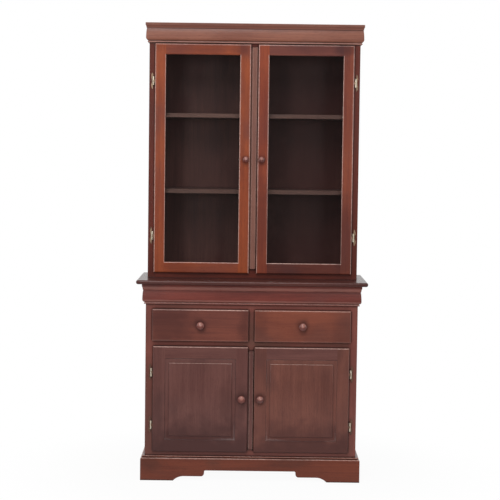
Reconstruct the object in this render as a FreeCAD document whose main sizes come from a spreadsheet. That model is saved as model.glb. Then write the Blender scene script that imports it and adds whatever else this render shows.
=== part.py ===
import FreeCAD, Part
import math
import os
import re

import Sketcher

# Dresser with hutch: a two-door, two-drawer base cabinet with a glazed two-door hutch on top.
#
# Frame: X to the right, Y to the back, Z up, millimetres.  The origin is on the floor, under the middle of the
# whole object.  The doors and drawer fronts overlay a flat front frame and stand a little way in front of it.

# Driving sizes, in millimetres.
SIZES = {
    # Overall
    "overall_width": 1004.0,
    "overall_height": 1993.0,
    "base_height": 877.0,
    "base_depth": 399.0,
    "hutch_depth": 294.0,
    # Boards
    "board": 18.0,
    "back_board": 6.0,
    "back_rebate": 9.0,
    "top_thickness": 18.0,
    "top_side_overhang": 41.5,
    "top_front_overhang": 41.0,
    "top_corner_round": 11.0,
    "top_edge_round": 8.5,
    # Front frames and what shows of them between the fronts
    "frame_thickness": 20.0,
    "base_stile_width": 40.0,
    "hutch_stile_width": 34.0,
    "front_overlay": 10.0,
    "plinth_reveal": 20.0,
    "mid_reveal": 23.0,
    "frieze_reveal": 21.0,
    "drawer_height": 139.0,
    "hutch_foot_reveal": 25.0,
    "hutch_top_reveal": 4.5,
    "hutch_lip": 26.5,
    "cornice_rise": 10.0,
    # Fronts, seen from the front
    "base_door_margin": 34.0,
    "base_door_gap": 28.0,
    "drawer_margin": 29.5,
    "drawer_gap": 26.0,
    "hutch_door_margin": 26.5,
    "hutch_door_gap": 33.0,
    # Fronts, in section
    "front_thickness": 18.0,
    "front_standoff": 2.0,
    "front_edge_round": 6.0,
    "base_door_member": 53.0,
    "base_sight_round": 2.0,
    "hutch_door_member": 47.0,
    "hutch_sight_round": 5.0,
    "glass_thickness": 4.0,
    "glass_lip": 8.0,
    "glass_rebate": 8.0,
    # Raised and fielded panel
    "panel_tongue": 5.0,
    "panel_groove": 10.0,
    "panel_setback": 4.0,
    "panel_margin": 22.0,
    "panel_bevel_rise": 3.0,
    "panel_field_sink": 0.5,
    "panel_field_round": 4.5,
    "panel_edge_clearance": 1.0,
    "panel_sight_clearance": 0.5,
    # Closing strips
    "strip_cover": 25.0,
    "strip_flange": 8.0,
    "strip_crown": 11.0,
    "strip_round": 6.0,
    "strip_lap": 5.0,
    "strip_clearance": 1.5,
    "hutch_strip_width": 24.0,
    "hutch_strip_top_inset": 12.0,
    "hutch_strip_foot_inset": 20.0,
    "base_strip_width": 17.0,
    "base_strip_top_inset": 18.0,
    "base_strip_foot_inset": 13.0,
    # Turned knobs
    "knob_projection": 28.0,
    "knob_foot_radius": 8.0,
    "knob_foot_height": 2.5,
    "knob_neck_radius": 5.5,
    "knob_neck_height": 7.0,
    "knob_cove_radius": 5.0,
    "knob_head_height": 17.0,
    "knob_head_edge": 2.5,
    "drawer_knob_radius": 17.0,
    "base_knob_radius": 16.5,
    "hutch_knob_radius": 14.0,
    "base_knob_inset": 26.2,
    "base_knob_rise": 4.0,
    "hutch_knob_inset": 18.0,
    # Hinges
    "hinge_set_back": 1.0,
    "hinge_barrel_radius": 3.6,
    "hinge_barrel_height": 36.0,
    "hinge_middle_height": 11.7,
    "hinge_knuckle_gap": 0.3,
    "hinge_pin_radius": 1.5,
    "hinge_pin_overrun": 0.8,
    "hinge_fixed_clearance": 0.02,
    "hinge_running_clearance": 0.05,
    "hinge_wing_thickness": 1.4,
    "hinge_wing_half_height": 37.0,
    "hinge_wing_waist": 8.0,
    "hinge_wing_width": 11.0,
    "hinge_wing_tip": 4.5,
    "hinge_lobe_height": 14.0,
    "hinge_lobe_bend": 30.0,
    "hinge_tip_bend": 45.0,
    "hinge_web_clearance": 1.2,
    "hinge_leaf_thickness": 1.0,
    "hinge_leaf_clearance": 2.8,
    "hinge_leaf_wrap": 15.0,
    "hutch_hinge_inset": 162.0,
    "base_hinge_inset": 115.0,
    # Mouldings: frieze and cornice share one section
    "frieze_height": 87.0,
    "cornice_height": 86.0,
    "mould_foot": 6.0,
    "mould_bead_height": 6.0,
    "mould_bead_radius": 3.25,
    "mould_quirk_depth": 1.8,
    "mould_quirk_height": 2.0,
    "mould_belly": 14.8,
    "mould_neck": 12.0,
    "mould_groove_depth": 1.5,
    "mould_groove_height": 2.5,
    "mould_cove_foot": 13.2,
    "mould_lip": 16.0,
    "mould_projection": 17.0,
    "mould_fillet": 11.0,
    "cornice_belly_height": 22.0,
    "cornice_neck_drop": 25.5,
    "frieze_belly_height": 20.0,
    "frieze_neck_drop": 28.0,
    # Bracket plinth
    "plinth_height": 108.0,
    "plinth_thickness": 18.0,
    "plinth_bead_height": 7.0,
    "plinth_bead_radius": 3.6,
    "plinth_bead_set": 9.0,
    "plinth_quirk": 1.0,
    "plinth_ovolo": 7.0,
    "carcass_lift": 60.0,
    "foot_width": 143.5,
    "spur_start": 190.0,
    "spur_end": 279.0,
    "spur_height": 20.0,
    "spur_round": 14.0,
    "apron_height": 46.0,
    "apron_round": 6.0,
    "side_foot_width": 105.0,
    "block_width": 45.0,
    "block_lift": 3.0,
    # Drawers and what carries them
    "drawer_play": 1.75,
    "drawer_lift": 2.0,
    "drawer_head_gap": 14.0,
    "drawer_rear_gap": 25.0,
    "drawer_wall": 12.0,
    "drawer_base": 5.0,
    "drawer_groove_depth": 6.0,
    "drawer_groove_rise": 8.0,
    "runner_clearance": 0.3,
    "runner_ledge": 12.0,
    "runner_guide": 18.0,
    # Shelves and pegs
    "shelf_clearance": 1.0,
    "shelf_setback": 15.0,
    "low_shelf_rise": 373.5,
    "high_shelf_rise": 707.0,
    "cupboard_shelf_rise": 204.0,
    "peg_radius": 2.5,
    "peg_clearance": 0.05,
    "peg_depth": 8.0,
    "peg_length": 18.0,
    "peg_inset": 40.0,
    # Catches
    "catch_start": 60.0,
    "catch_width": 45.0,
    "catch_height": 12.0,
    "catch_clearance": 0.3,
    # How far cutting shapes reach past what they cut
    "cut_margin": 1.0,
}

# Planes and widths that follow from the driving sizes.
LAYOUT = {
    "half_width": "overall_width / 2 - top_side_overhang",
    "inner_half": "half_width - board",
    "back_plane": "(base_depth + front_standoff + front_thickness + knob_projection) / 2",
    "back_inner": "back_plane - back_board",
    "base_face": "back_plane - base_depth",
    "base_door_back": "base_face - front_standoff",
    "base_front": "base_door_back - front_thickness",
    "base_frame_back": "base_face + frame_thickness",
    "hutch_face": "back_plane - hutch_depth",
    "hutch_door_back": "hutch_face - front_standoff",
    "hutch_front": "hutch_door_back - front_thickness",
    "hutch_frame_back": "hutch_face + frame_thickness",
    "base_opening": "half_width - base_stile_width",
    "hutch_opening": "half_width - hutch_stile_width",
    "base_top_foot": "base_height - top_thickness",
    "frieze_foot": "base_top_foot - frieze_height",
    "drawer_top": "frieze_foot - frieze_reveal",
    "drawer_foot": "drawer_top - drawer_height",
    "base_door_top": "drawer_foot - mid_reveal",
    "base_door_foot": "plinth_height + plinth_reveal",
    "top_rail_foot": "drawer_top - front_overlay",
    "mid_rail_top": "drawer_foot + front_overlay",
    "divider_foot": "base_door_top - front_overlay",
    "mid_rail_foot": "base_door_top - base_strip_top_inset - strip_lap",
    "cupboard_floor": "base_door_foot + base_strip_foot_inset + strip_lap",
    "glazing_bead": "front_thickness - glass_lip - glass_thickness",
    "base_door_inner": "base_door_gap / 2",
    "base_door_outer": "half_width - base_door_margin",
    "base_door_width": "base_door_outer - base_door_inner",
    "base_door_height": "base_door_top - base_door_foot",
    "drawer_inner": "drawer_gap / 2",
    "drawer_outer": "half_width - drawer_margin",
    "drawer_width": "drawer_outer - drawer_inner",
    "post_half": "drawer_inner + front_overlay",
    "hutch_floor": "base_height + board",
    "hutch_door_foot": "base_height + hutch_foot_reveal",
    "cornice_foot": "overall_height - cornice_height",
    "hutch_door_top": "cornice_foot - hutch_top_reveal",
    "hutch_foot_rail_top": "hutch_door_foot + hutch_strip_foot_inset + strip_lap",
    "hutch_top_rail_foot": "hutch_door_top - hutch_strip_top_inset - strip_lap",
    "hutch_top_foot": "hutch_top_rail_foot + hutch_lip",
    "hutch_carcass_top": "overall_height - cornice_rise",
    "hutch_door_inner": "hutch_door_gap / 2",
    "hutch_door_outer": "half_width - hutch_door_margin",
    "hutch_door_width": "hutch_door_outer - hutch_door_inner",
    "hutch_door_height": "hutch_door_top - hutch_door_foot",
    "hinge_side_gap": "hinge_leaf_thickness + hinge_leaf_clearance + hinge_barrel_radius",
    "hinge_standout": "front_standoff + front_thickness / 2 - hinge_set_back",
    "base_hinge_x": "base_door_outer + hinge_side_gap",
    "base_hinge_y": "base_face - hinge_standout",
    "hutch_hinge_x": "hutch_door_outer + hinge_side_gap",
    "hutch_hinge_y": "hutch_face - hinge_standout",
    "drawer_side_out": "base_opening - drawer_play",
    "drawer_side_in": "post_half + drawer_play",
    "drawer_box_foot": "mid_rail_top + drawer_lift",
    "drawer_base_foot": "drawer_box_foot + drawer_groove_rise",
    "drawer_box_back": "back_inner - drawer_rear_gap",
    "drawer_box_length": "drawer_box_back - base_door_back",
    "drawer_box_height": "top_rail_foot - drawer_box_foot - drawer_head_gap",
    "runner_top": "drawer_box_foot - runner_clearance",
    "divider_half": "board / 2",
}

FUNCTIONS = ("sqrt",)

doc = FreeCAD.newDocument("dresser_with_hutch")
nodes = []


def make_sheet():
    """Put the driving sizes in a spreadsheet, one named cell each, and the derived ones in a variable set."""
    sheet = doc.addObject("Spreadsheet::Sheet", "Sizes")
    for row, (name, size) in enumerate(SIZES.items(), start=1):
        sheet.set("A%d" % row, name)
        sheet.set("B%d" % row, str(size))
        sheet.setAlias("B%d" % row, name)
    doc.recompute()
    layout = doc.addObject("App::VarSet", "Layout")
    for name, formula in LAYOUT.items():
        layout.addProperty("App::PropertyFloat", name)
        layout.setExpression(name, named(formula))
    doc.recompute()
    return layout


def named(formula):
    """Spell a formula's plain names out as references to the sheet and the layout."""
    def spell(match):
        word = match.group(0)
        if word in SIZES:
            return "Sizes." + word
        if word in LAYOUT:
            return "Layout." + word
        if word in FUNCTIONS:
            return word
        raise ValueError("unknown size " + word)
    return re.sub(r"[a-z][a-z_]*", spell, str(formula))


layout = make_sheet()


def size(formula):
    """The present value of a formula."""
    return float(layout.evalExpression(named(formula)))


def bind(thing, **formulas):
    """Bind properties to formulas; an underscore pair stands for the dot in a property's path."""
    for path, formula in formulas.items():
        thing.setExpression(path.replace("__", "."), named(formula))


def place(thing, x=0, y=0, z=0):
    bind(thing, Placement__Base__x=x, Placement__Base__y=y, Placement__Base__z=z)


def node(label, thing):
    """Name a finished sub-part; it becomes one file."""
    thing.Label = label
    nodes.append(thing)
    return thing


# Plain solids ---------------------------------------------------------------------------------------------------

def block(name, x, y, z):
    """A square-edged board between pairs of planes."""
    box = doc.addObject("Part::Box", name)
    bind(box,
         Length="(%s) - (%s)" % (x[1], x[0]),
         Width="(%s) - (%s)" % (y[1], y[0]),
         Height="(%s) - (%s)" % (z[1], z[0]))
    place(box, x[0], y[0], z[0])
    return box


def span(half):
    """A pair of planes, evenly to the left and the right."""
    return "-(%s)" % half, half


def rod(name, radius, length, x, y, z, along_x=False):
    cylinder = doc.addObject("Part::Cylinder", name)
    bind(cylinder, Radius=radius, Height=length)
    if along_x:
        cylinder.Placement.Rotation = FreeCAD.Rotation(FreeCAD.Vector(0, 1, 0), 90)
    place(cylinder, x, y, z)
    return cylinder


def mirrored(source):
    """The same piece on the other side of the middle plane."""
    mirror = doc.addObject("Part::Mirroring", source.Name + "_mirrored")
    mirror.Source = source
    mirror.Normal = (1, 0, 0)
    return mirror


def group(name, members):
    compound = doc.addObject("Part::Compound", name)
    compound.Links = members
    return compound


def both_sides(name, members):
    return group(name, members + [mirrored(member) for member in members])


# Sketched solids ------------------------------------------------------------------------------------------------

def new_body(name, x=0, y=0, z=0):
    body = doc.addObject("PartDesign::Body", name)
    place(body, x, y, z)
    return body


def new_sketch(body, role, offset=0):
    """A sketch on one of the body's own origin planes, moved along the plane's normal."""
    sketch = body.newObject("Sketcher::SketchObject", body.Name + "_sketch")
    plane = next(item for item in body.Origin.OriginFeatures if item.Role == role)
    sketch.AttachmentSupport = [(plane, "")]
    sketch.MapMode = "FlatFace"
    bind(sketch, AttachmentOffset__Base__z=offset)
    return sketch


def fix_point(sketch, geometry, point, corner):
    for kind, formula in (("DistanceX", corner[0]), ("DistanceY", corner[1])):
        index = sketch.addConstraint(Sketcher.Constraint(kind, -1, 1, geometry, point, size(formula)))
        sketch.setExpression("Constraints[%d]" % index, named(formula))


def arc_between(start, end, radius):
    """The short arc from start to end; a positive radius turns left, a negative one turns right."""
    chord = end.sub(start)
    rise = math.sqrt(max(radius ** 2 - chord.Length ** 2 / 4, 0))
    left = FreeCAD.Vector(-chord.y, chord.x, 0).normalize()
    turn = 1 if radius > 0 else -1
    centre = (start + end) * 0.5 + left * rise * turn
    first, last = (start, end) if turn > 0 else (end, start)
    first_angle = math.atan2(first.y - centre.y, first.x - centre.x)
    last_angle = math.atan2(last.y - centre.y, last.x - centre.x)
    circle = Part.Circle(centre, FreeCAD.Vector(0, 0, 1), abs(radius))
    return Part.ArcOfCircle(circle, first_angle, last_angle)


def outline(sketch, corners):
    """Draw a closed outline.  A corner is (x, y), or (x, y, radius) where an arc leads on from it."""
    points = [FreeCAD.Vector(size(corner[0]), size(corner[1]), 0) for corner in corners]
    ends = []
    for index, corner in enumerate(corners):
        start = points[index]
        end = points[(index + 1) % len(points)]
        if len(corner) == 2:
            geometry = sketch.addGeometry(Part.LineSegment(start, end), False)
            ends.append((geometry, 1, 2))
            continue
        radius = size(corner[2])
        geometry = sketch.addGeometry(arc_between(start, end, radius), False)
        ends.append((geometry, 1, 2) if radius > 0 else (geometry, 2, 1))
    for index, (geometry, first, last) in enumerate(ends):
        following = ends[(index + 1) % len(ends)]
        sketch.addConstraint(Sketcher.Constraint("Coincident", geometry, last, following[0], following[1]))
        fix_point(sketch, geometry, first, corners[index])
    for (geometry, first, last), corner in zip(ends, corners):
        if len(corner) == 3:
            radius = size(corner[2])
            index = sketch.addConstraint(Sketcher.Constraint("Radius", geometry, abs(radius)))
            sign = "" if radius > 0 else "-"
            sketch.setExpression("Constraints[%d]" % index, named("%s(%s)" % (sign, corner[2])))


def rectangle(sketch, x, y):
    outline(sketch, [(x[0], y[0]), (x[1], y[0]), (x[1], y[1]), (x[0], y[1])])


def circle(sketch, x, y, radius):
    shape = Part.Circle(FreeCAD.Vector(size(x), size(y), 0), FreeCAD.Vector(0, 0, 1), size(radius))
    geometry = sketch.addGeometry(shape, False)
    fix_point(sketch, geometry, 3, (x, y))
    index = sketch.addConstraint(Sketcher.Constraint("Radius", geometry, size(radius)))
    sketch.setExpression("Constraints[%d]" % index, named(radius))


def pad(body, sketch, length, symmetric=False, reverse=False):
    feature = body.newObject("PartDesign::Pad", body.Name + "_pad")
    feature.Profile = sketch
    feature.SideType = "Symmetric" if symmetric else "One side"
    feature.Reversed = reverse
    bind(feature, Length=length)
    return feature


def pocket(body, sketch, depth=None, symmetric=False, reverse=False):
    """Cut a pocket, or right through where no depth is given, and make sure that it met the solid."""
    doc.recompute()
    before = body.Shape.Volume
    feature = body.newObject("PartDesign::Pocket", body.Name + "_pocket")
    feature.Profile = sketch
    feature.SideType = "Symmetric" if symmetric else "One side"
    feature.Reversed = reverse
    if depth is None:
        feature.Type = "ThroughAll"
    else:
        bind(feature, Length=depth)
    doc.recompute()
    if body.Shape.Volume >= before:
        raise RuntimeError(body.Name + ": a pocket missed the solid")
    return feature


def fillet(body, radius, chosen):
    """Round the edges of the body's solid for which chosen(edge) is true."""
    doc.recompute()
    base = body.Tip
    names = ["Edge%d" % number for number, edge in enumerate(base.Shape.Edges, start=1) if chosen(edge)]
    if not names:
        raise RuntimeError(body.Name + ": no edge to round")
    feature = body.newObject("PartDesign::Fillet", body.Name + "_fillet")
    feature.Base = (base, names)
    bind(feature, Radius=radius)
    return feature


def lies_at(edge, axis, places):
    """True where the whole edge lies in one of the given planes across an axis ("x", "y" or "z")."""
    low = getattr(edge.BoundBox, axis.upper() + "Min")
    high = getattr(edge.BoundBox, axis.upper() + "Max")
    return any(abs(low - size(spot)) < 1e-4 and abs(high - size(spot)) < 1e-4 for spot in places)


# Carcass --------------------------------------------------------------------------------------------------------

def side_board(name, face, foot, top, peg_rows, peg_lines):
    """A side panel, rebated for the back board and drilled for the shelf pegs."""
    body = new_body(name, "inner_half", face, foot)
    plan = new_sketch(body, "XY_Plane")
    outline(plan, [
        (0, 0),
        ("board", 0),
        ("board", "back_plane - (%s)" % face),
        ("back_rebate", "back_plane - (%s)" % face),
        ("back_rebate", "back_inner - (%s)" % face),
        (0, "back_inner - (%s)" % face)])
    pad(body, plan, "(%s) - (%s)" % (top, foot))
    holes = new_sketch(body, "YZ_Plane")
    for row in peg_rows:
        for line in peg_lines:
            circle(holes, "(%s) - (%s)" % (line, face), "(%s) - (%s)" % (row, foot), "peg_radius + peg_clearance")
    pocket(body, holes, "peg_depth", reverse=True)
    return body


def peg_group(name, peg_rows, peg_lines):
    start = "inner_half - peg_length + peg_depth"
    pegs = []
    for row in peg_rows:
        for line in peg_lines:
            pegs.append(rod(name, "peg_radius", "peg_length", start, line, row, along_x=True))
    return pegs


def build_carcass():
    hutch_rows = ["hutch_floor + %s - board - peg_radius" % rise for rise in ("low_shelf_rise", "high_shelf_rise")]
    hutch_lines = ["hutch_frame_back + shelf_setback + peg_inset", "back_inner - peg_inset"]
    base_rows = ["cupboard_floor + cupboard_shelf_rise - board - peg_radius"]
    base_lines = ["base_frame_back + shelf_setback + peg_inset", "back_inner - peg_inset"]

    base_side = side_board("base_side", "base_frame_back", "carcass_lift", "base_top_foot", base_rows, base_lines)
    hutch_side = side_board("hutch_side", "hutch_frame_back", "base_height", "hutch_carcass_top",
                            hutch_rows, hutch_lines)
    node("base_sides", both_sides("base_sides", [base_side]))
    node("hutch_sides", both_sides("hutch_sides", [hutch_side]))
    pegs = peg_group("peg", hutch_rows, hutch_lines) + peg_group("base_peg", base_rows, base_lines)
    node("shelf_pegs", both_sides("shelf_pegs", pegs))

    inside = span("inner_half")
    base_inside = ("base_frame_back", "back_inner")
    hutch_inside = ("hutch_frame_back", "back_inner")
    rebated = span("inner_half + back_rebate")
    back = ("back_inner", "back_plane")
    node("base_bottom", block("base_bottom", inside, base_inside, ("cupboard_floor - board", "cupboard_floor")))
    node("base_back", block("base_back", rebated, back, ("carcass_lift", "base_top_foot")))
    node("hutch_bottom", block("hutch_bottom", inside, hutch_inside, ("base_height", "hutch_floor")))
    node("hutch_top", block("hutch_top", inside, hutch_inside, ("hutch_top_foot", "hutch_top_foot + board")))
    node("hutch_back", block("hutch_back", rebated, back, ("base_height", "hutch_top_foot + board")))

    shelf_width = span("inner_half - shelf_clearance")
    hutch_run = ("hutch_frame_back + shelf_setback", "back_inner - shelf_clearance")
    base_run = ("base_frame_back + shelf_setback", "back_inner - shelf_clearance")
    shelves = []
    for rise in ("low_shelf_rise", "high_shelf_rise"):
        upper = "hutch_floor + " + rise
        shelves.append(block("hutch_shelf", shelf_width, hutch_run, (upper + " - board", upper)))
    node("hutch_shelves", group("hutch_shelves", shelves))
    upper = "cupboard_floor + cupboard_shelf_rise"
    node("cupboard_shelf", block("cupboard_shelf", shelf_width, base_run, (upper + " - board", upper)))

    node("drawer_divider", block("drawer_divider", span("divider_half"), base_inside,
                                 ("divider_foot", "base_top_foot")))


def build_front_frames():
    base_y = ("base_face", "base_frame_back")
    hutch_y = ("hutch_face", "hutch_frame_back")
    base_rail = span("base_opening")
    hutch_rail = span("hutch_opening")
    stile = block("base_stile", ("base_opening", "half_width"), base_y, ("carcass_lift", "base_top_foot"))
    node("base_stiles", both_sides("base_stiles", [stile]))
    node("base_top_rail", block("base_top_rail", base_rail, base_y, ("top_rail_foot", "base_top_foot")))
    node("base_mid_rail", block("base_mid_rail", base_rail, base_y, ("mid_rail_foot", "mid_rail_top")))
    node("base_foot_rail", block("base_foot_rail", base_rail, base_y, ("carcass_lift", "cupboard_floor")))
    node("drawer_post", block("drawer_post", span("post_half"), base_y, ("mid_rail_top", "top_rail_foot")))
    stile = block("hutch_stile", ("hutch_opening", "half_width"), hutch_y, ("base_height", "hutch_carcass_top"))
    node("hutch_stiles", both_sides("hutch_stiles", [stile]))
    node("hutch_foot_rail", block("hutch_foot_rail", hutch_rail, hutch_y, ("base_height", "hutch_foot_rail_top")))
    node("hutch_top_rail", block("hutch_top_rail", hutch_rail, hutch_y,
                                 ("hutch_top_rail_foot", "hutch_carcass_top")))


def build_top_board():
    """The moulded top of the base: a round nose along the front and both ends, square at the back."""
    body = new_body("base_top", 0, "base_face - top_front_overhang", "base_top_foot")
    plan = new_sketch(body, "XY_Plane")
    depth = "base_depth + top_front_overhang"
    rectangle(plan, span("overall_width / 2"), (0, depth))
    pad(body, plan, "top_thickness")
    ends = ("overall_width / 2", "-overall_width / 2")
    fillet(body, "top_corner_round",
           lambda edge: lies_at(edge, "y", [0]) and lies_at(edge, "x", ends))
    fillet(body, "top_edge_round",
           lambda edge: lies_at(edge, "z", [0, "top_thickness"]) and not lies_at(edge, "y", [depth]))
    node("base_top", body)


# Mouldings ------------------------------------------------------------------------------------------------------

def tangent_radius(across, along):
    """Radius of an arc that leaves straight along and has moved this far across when it has gone this far along."""
    return "((%s) ^ 2 + (%s) ^ 2) / (2 * (%s))" % (across, along, across)


def crown_section(height, belly_height, neck_drop):
    """Section of frieze and cornice as (projection, height): bead, quirk, belly, groove, cove and top fillet."""
    bead_top = "mould_bead_height"
    quirk_top = bead_top + " + mould_quirk_height"
    neck_height = "%s - %s" % (height, neck_drop)
    groove_top = neck_height + " + mould_groove_height"
    cove_top = "%s - mould_fillet" % height
    ovolo = tangent_radius("mould_belly - mould_foot + mould_quirk_depth", "%s - (%s)" % (belly_height, quirk_top))
    return [
        (0, 0),
        ("mould_foot", 0, "mould_bead_radius"),
        ("mould_foot", bead_top),
        ("mould_foot - mould_quirk_depth", quirk_top, ovolo),
        ("mould_belly", belly_height, tangent_radius("mould_belly - mould_neck", "%s - %s" % (neck_height,
                                                                                            belly_height))),
        ("mould_neck", neck_height),
        ("mould_neck - mould_groove_depth", neck_height),
        ("mould_neck - mould_groove_depth", groove_top),
        ("mould_cove_foot", groove_top, "-(%s)" % tangent_radius("mould_lip - mould_cove_foot",
                                                                 "%s - (%s)" % (cove_top, groove_top))),
        ("mould_lip", cove_top),
        ("mould_projection", cove_top),
        ("mould_projection", height),
        (0, height)]


def plinth_section():
    """Section of the plinth as (projection, height): a face board with ovolo, quirk and bead along its top."""
    bead_foot = "plinth_height - plinth_bead_height"
    quirk_foot = bead_foot + " - plinth_quirk"
    return [
        (0, 0),
        ("plinth_thickness", 0),
        ("plinth_thickness", "%s - plinth_ovolo" % quirk_foot, "plinth_ovolo"),
        ("plinth_thickness - plinth_ovolo", quirk_foot),
        ("plinth_bead_set", quirk_foot),
        ("plinth_bead_set", bead_foot, "plinth_bead_radius"),
        ("plinth_bead_set", "plinth_height"),
        (0, "plinth_height")]


def front_moulding(name, section, reach, face, foot):
    """A moulding across the front, its ends cut to mitres."""
    body = new_body(name, 0, face, foot)
    profile = new_sketch(body, "YZ_Plane")
    outline(profile, [("-(%s)" % corner[0],) + corner[1:2] + tuple("-(%s)" % bend for bend in corner[2:])
                      for corner in section])
    pad(body, profile, "2 * (half_width + %s)" % reach, symmetric=True)
    beyond = reach + " + cut_margin"
    mitres = new_sketch(body, "XY_Plane")
    outline(mitres, [
        ("half_width", 0),
        ("half_width + %s" % beyond, "-(%s)" % beyond),
        ("half_width + %s" % beyond, 0)])
    outline(mitres, [
        ("-half_width", 0),
        ("-(half_width + %s)" % beyond, 0),
        ("-(half_width + %s)" % beyond, "-(%s)" % beyond)])
    pocket(body, mitres, reverse=True)
    return body


def return_moulding(name, section, reach, depth, face, foot):
    """The same moulding back along the right side, mitred at its front end."""
    body = new_body(name, "half_width", face, foot)
    profile = new_sketch(body, "XZ_Plane", "-%s" % depth)
    outline(profile, section)
    pad(body, profile, "%s + %s" % (depth, reach))
    beyond = reach + " + cut_margin"
    mitre = new_sketch(body, "XY_Plane")
    outline(mitre, [
        (0, 0),
        (0, "-(%s)" % beyond),
        (beyond, "-(%s)" % beyond)])
    pocket(body, mitre, reverse=True)
    return body


def build_mouldings():
    frieze = crown_section("frieze_height", "frieze_belly_height", "frieze_neck_drop")
    cornice = crown_section("cornice_height", "cornice_belly_height", "cornice_neck_drop")
    node("frieze_front", front_moulding("frieze_front", frieze, "mould_projection", "base_face", "frieze_foot"))
    side = return_moulding("frieze_return", frieze, "mould_projection", "base_depth", "base_face", "frieze_foot")
    node("frieze_returns", both_sides("frieze_returns", [side]))
    node("cornice_front", front_moulding("cornice_front", cornice, "mould_projection", "hutch_face", "cornice_foot"))
    side = return_moulding("cornice_return", cornice, "mould_projection", "hutch_depth", "hutch_face",
                           "cornice_foot")
    node("cornice_returns", both_sides("cornice_returns", [side]))


def build_plinth():
    """Bracket feet: the front board's cut-out rises in a curve to a spur, then steps up to the apron."""
    section = plinth_section()
    front = front_moulding("plinth_front", section, "plinth_thickness", "base_face", 0)
    end = "half_width + plinth_thickness"
    foot_curve = tangent_radius("spur_height", "spur_start - foot_width")
    right_half = [
        ("%s - foot_width" % end, 0, foot_curve),
        ("%s - spur_start" % end, "spur_height"),
        ("%s - spur_end + spur_round" % end, "spur_height", "-spur_round"),
        ("%s - spur_end" % end, "spur_height + spur_round"),
        ("%s - spur_end" % end, "apron_height - apron_round", "apron_round"),
        ("%s - spur_end - apron_round" % end, "apron_height")]
    left_points = [("-(%s)" % corner[0], corner[1]) for corner in reversed(right_half)]
    left_bends = [corner[2:] for corner in reversed(right_half[:-1])] + [()]
    left_half = [point + bend for point, bend in zip(left_points, left_bends)]
    gap = new_sketch(front, "XZ_Plane")
    outline(gap, right_half + left_half + [
        ("-(%s - foot_width)" % end, "-cut_margin"),
        ("%s - foot_width" % end, "-cut_margin")])
    pocket(front, gap, symmetric=True)
    node("plinth_front", front)

    side = return_moulding("plinth_return", section, "plinth_thickness", "base_depth", "base_face", 0)
    gap = new_sketch(side, "YZ_Plane")
    rear = "base_depth - side_foot_width"
    front_edge = "side_foot_width - plinth_thickness"
    outline(gap, [
        (front_edge, "-cut_margin"),
        (rear, "-cut_margin"),
        (rear, 0, "apron_height"),
        ("%s - apron_height" % rear, "apron_height"),
        ("%s + apron_height" % front_edge, "apron_height", "apron_height"),
        (front_edge, 0)])
    pocket(side, gap, symmetric=True)
    node("plinth_returns", both_sides("plinth_returns", [side]))

    across = ("half_width - block_width", "half_width")
    up = ("block_lift", "carcass_lift")
    blocks = [
        block("front_block", across, ("base_face", "base_face + block_width"), up),
        block("rear_block", across, ("back_plane - block_width", "back_plane"), up)]
    node("plinth_blocks", both_sides("plinth_blocks", blocks))


# Doors ----------------------------------------------------------------------------------------------------------

def door_ring(name, kind, sight_round, inner, depth, start):
    """A door frame in one ring: rounded outside and at the sight edge, with a rebate or groove cut inside."""
    width = kind + "_door_width"
    height = kind + "_door_height"
    member = kind + "_door_member"
    body = new_body(name, kind + "_door_inner", kind + "_door_back", kind + "_door_foot")
    face = new_sketch(body, "XZ_Plane")
    rectangle(face, (0, width), (0, height))
    rectangle(face, (member, "%s - %s" % (width, member)), (member, "%s - %s" % (height, member)))
    pad(body, face, "front_thickness")
    hollow = new_sketch(body, "XZ_Plane", start)
    rectangle(hollow, (inner, "%s - (%s)" % (width, inner)), (inner, "%s - (%s)" % (height, inner)))
    pocket(body, hollow, depth, reverse=True)
    front = ["-front_thickness"]
    fillet(body, "front_edge_round",
           lambda edge: lies_at(edge, "y", front)
           and (lies_at(edge, "x", [0, width]) or lies_at(edge, "z", [0, height])))
    sight_x = [member, "%s - %s" % (width, member)]
    sight_z = [member, "%s - %s" % (height, member)]
    fillet(body, sight_round,
           lambda edge: lies_at(edge, "y", front) and (lies_at(edge, "x", sight_x) or lies_at(edge, "z", sight_z)))
    return body


def door_members(name, ring, kind):
    """Cut the ring at the joints into two stiles, which run full height, and two rails between them."""
    member = kind + "_door_member"
    left = kind + "_door_inner"
    right = kind + "_door_outer"
    low = kind + "_door_foot"
    high = kind + "_door_top"
    depth = (kind + "_front - cut_margin", kind + "_door_back + cut_margin")
    full = (low + " - cut_margin", high + " + cut_margin")
    between = ("%s + %s" % (left, member), "%s - %s" % (right, member))
    regions = [
        block(name + "_cut", (left + " - cut_margin", "%s + %s" % (left, member)), depth, full),
        block(name + "_cut", ("%s - %s" % (right, member), right + " + cut_margin"), depth, full),
        block(name + "_cut", between, depth, (low + " - cut_margin", "%s + %s" % (low, member))),
        block(name + "_cut", between, depth, ("%s - %s" % (high, member), high + " + cut_margin"))]
    members = []
    for region in regions:
        piece = doc.addObject("Part::Common", name + "_member")
        piece.Base = ring
        piece.Tool = region
        members.append(piece)
    return group(name, members)


def door_pair(stem, part, right_piece):
    """Name a right-hand piece and its mirror image on the left door."""
    node("%s_door_right_%s" % (stem, part), right_piece)
    node("%s_door_left_%s" % (stem, part), mirrored(right_piece))


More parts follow.
